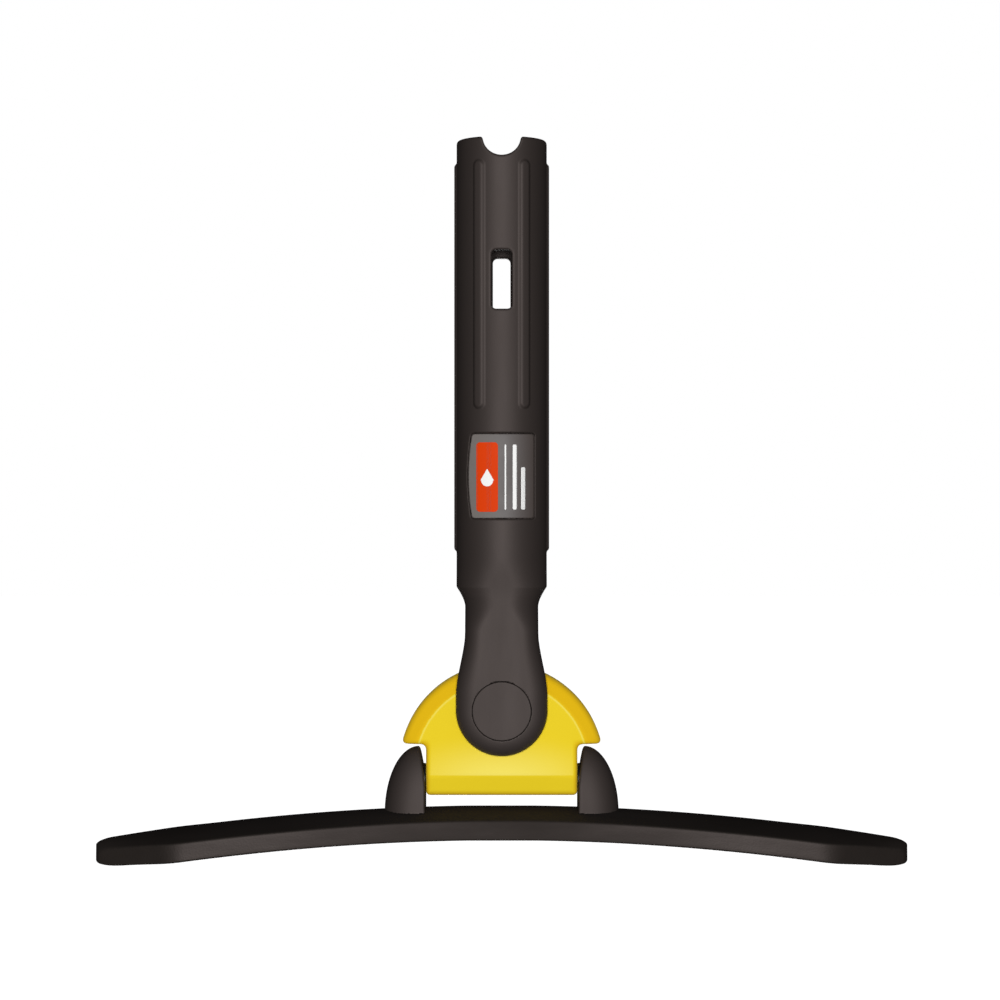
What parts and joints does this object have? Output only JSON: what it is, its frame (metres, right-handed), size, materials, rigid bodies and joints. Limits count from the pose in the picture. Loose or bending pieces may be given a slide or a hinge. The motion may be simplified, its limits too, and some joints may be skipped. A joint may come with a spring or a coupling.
{
  "type": "flexible window cleaning head",
  "caption": "Flexible window-cleaning head: long bowed rubber bar that flexes, on a tilt and swivel joint block, with a push-on pole socket.",
  "frame": {"origin": "centre of the pole socket's mouth, level with its rim", "axes": "+Z along the pole axis, out of the socket's mouth; +X along the bar; the label faces -Y"},
  "size_m": [0.29, 0.036, 0.2584],
  "materials": {
    "black_plastic": "fine moulded satin, warm charcoal",
    "yellow_plastic": "smooth moulded satin yellow",
    "black_rubber": "soft matt moulded rubber",
    "black_acetal": "smooth black bearing plastic",
    "zinc_steel": "bright zinc plating",
    "spring_steel": "rolled spring steel",
    "label_film": "printed grey film plate with a plain orange panel"
  },
  "bodies": {
    "handle": {"handle_socket": "black_plastic", "label_plate": "label_film", "swivel_bolt": "zinc_steel", "swivel_nut": "zinc_steel", "swivel_cap_front": "black_plastic", "swivel_cap_rear": "black_plastic"},
    "block": {"joint_block": "yellow_plastic", "swivel_bush_front": "black_acetal", "swivel_bush_rear": "black_acetal", "hinge_bush_left": "black_acetal", "hinge_bush_right": "black_acetal"},
    "bar_centre": {"blade_centre": "black_rubber", "spring_strip_centre": "spring_steel", "ear_left": "black_plastic", "ear_right": "black_plastic", "hinge_pin": "zinc_steel", "ear_screw_left_front": "zinc_steel", "ear_screw_left_rear": "zinc_steel", "ear_screw_right_front": "zinc_steel", "ear_screw_right_rear": "zinc_steel"},
    "left_wing_1": {"blade_left_1": "black_rubber", "spring_strip_left_1": "spring_steel"},
    "left_wing_2": {"blade_left_2": "black_rubber", "spring_strip_left_2": "spring_steel"},
    "left_wing_3": {"blade_left_3": "black_rubber", "spring_strip_left_3": "spring_steel"},
    "left_wing_4": {"blade_left_4": "black_rubber", "spring_strip_left_4": "spring_steel"},
    "right_wing_1": {"blade_right_1": "black_rubber", "spring_strip_right_1": "spring_steel"},
    "right_wing_2": {"blade_right_2": "black_rubber", "spring_strip_right_2": "spring_steel"},
    "right_wing_3": {"blade_right_3": "black_rubber", "spring_strip_right_3": "spring_steel"},
    "right_wing_4": {"blade_right_4": "black_rubber", "spring_strip_right_4": "spring_steel"}
  },
  "joints": [
    {"name": "swivel", "type": "hinge", "parent": "handle", "child": "block", "pos_m": [0, 0, -0.2027], "axis": [0, 1, 0], "range_deg": [-60, 60]},
    {"name": "tilt", "type": "hinge", "parent": "block", "child": "bar_centre", "pos_m": [0, 0, -0.228], "axis": [1, 0, 0], "range_deg": [-70, 70]},
    {"name": "left_flex", "type": "hinge", "parent": "bar_centre", "child": "left_wing_1", "pos_m": [-0.044, 0, -0.23884], "axis": [0, 1, 0], "range_deg": [0, 16], "stiffness_Nm_per_rad": 0.8},
    {"name": "left_flex_2", "type": "hinge", "parent": "left_wing_1", "child": "left_wing_2", "pos_m": [-0.069, 0, -0.24048], "axis": [0, 1, 0], "range_deg": [0, 14], "stiffness_Nm_per_rad": 0.8},
    {"name": "left_flex_3", "type": "hinge", "parent": "left_wing_2", "child": "left_wing_3", "pos_m": [-0.094, 0, -0.24284], "axis": [0, 1, 0], "range_deg": [0, 12], "stiffness_Nm_per_rad": 0.8},
    {"name": "left_flex_4", "type": "hinge", "parent": "left_wing_3", "child": "left_wing_4", "pos_m": [-0.119, 0, -0.24593], "axis": [0, 1, 0], "range_deg": [0, 8], "stiffness_Nm_per_rad": 0.8},
    {"name": "right_flex", "type": "hinge", "parent": "bar_centre", "child": "right_wing_1", "pos_m": [0.044, 0, -0.23884], "axis": [0, -1, 0], "range_deg": [0, 16], "stiffness_Nm_per_rad": 0.8},
    {"name": "right_flex_2", "type": "hinge", "parent": "right_wing_1", "child": "right_wing_2", "pos_m": [0.069, 0, -0.24048], "axis": [0, -1, 0], "range_deg": [0, 14], "stiffness_Nm_per_rad": 0.8},
    {"name": "right_flex_3", "type": "hinge", "parent": "right_wing_2", "child": "right_wing_3", "pos_m": [0.094, 0, -0.24284], "axis": [0, -1, 0], "range_deg": [0, 12], "stiffness_Nm_per_rad": 0.8},
    {"name": "right_flex_4", "type": "hinge", "parent": "right_wing_3", "child": "right_wing_4", "pos_m": [0.119, 0, -0.24593], "axis": [0, -1, 0], "range_deg": [0, 8], "stiffness_Nm_per_rad": 0.8}
  ],
  "couplings": [
    {"joint": "left_flex_2", "follows": "left_flex", "ratio": 0.875},
    {"joint": "left_flex_3", "follows": "left_flex", "ratio": 0.75},
    {"joint": "left_flex_4", "follows": "left_flex", "ratio": 0.5},
    {"joint": "right_flex_2", "follows": "right_flex", "ratio": 0.875},
    {"joint": "right_flex_3", "follows": "right_flex", "ratio": 0.75},
    {"joint": "right_flex_4", "follows": "right_flex", "ratio": 0.5}
  ]
}
